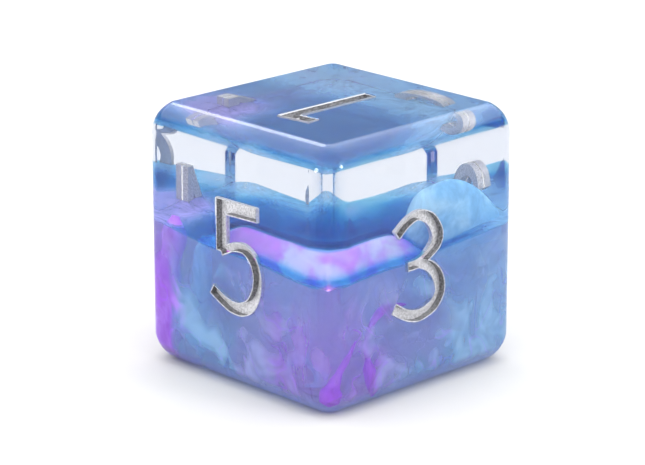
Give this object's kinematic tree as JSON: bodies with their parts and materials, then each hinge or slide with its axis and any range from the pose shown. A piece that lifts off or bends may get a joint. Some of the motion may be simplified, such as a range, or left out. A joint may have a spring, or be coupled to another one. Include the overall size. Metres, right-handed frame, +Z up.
{
  "type": "six-sided resin die",
  "caption": "Clear-over-swirled resin cube die with rounded edges and recessed silver numerals, for tabletop games.",
  "frame": {"origin": "centre of the bottom face, the six, on the surface that the die stands on", "axes": "+Z up through the one; +X out of the three; -Y out of the five"},
  "size_m": [0.016, 0.016, 0.016],
  "materials": {
    "clear_resin": "polished, water clear",
    "tinted_resin": "polished, milky lavender blue with swirls",
    "blue_ink": "deep cerulean ink set in resin",
    "pale_blue_ink": "pale blue ink set in resin",
    "purple_ink": "strong purple ink set in resin",
    "violet_ink": "pale violet ink veil set in resin",
    "silver_paint": "fine-grained silver paint, satin"
  },
  "bodies": {
    "root": {"clear_upper_pour": "clear_resin", "tinted_lower_pour": "tinted_resin", "blue_ink_film": "blue_ink", "blue_ink_dome": "pale_blue_ink", "blue_ink_column": "pale_blue_ink", "pale_ink_curl": "pale_blue_ink", "purple_ink_plume": "purple_ink", "long_ink_drip": "purple_ink", "short_ink_drip": "purple_ink", "violet_ink_veil": "violet_ink", "paint_one": "silver_paint", "paint_two": "silver_paint", "paint_three": "silver_paint", "paint_four": "silver_paint", "paint_five": "silver_paint", "paint_six": "silver_paint"}
  },
  "joints": []
}
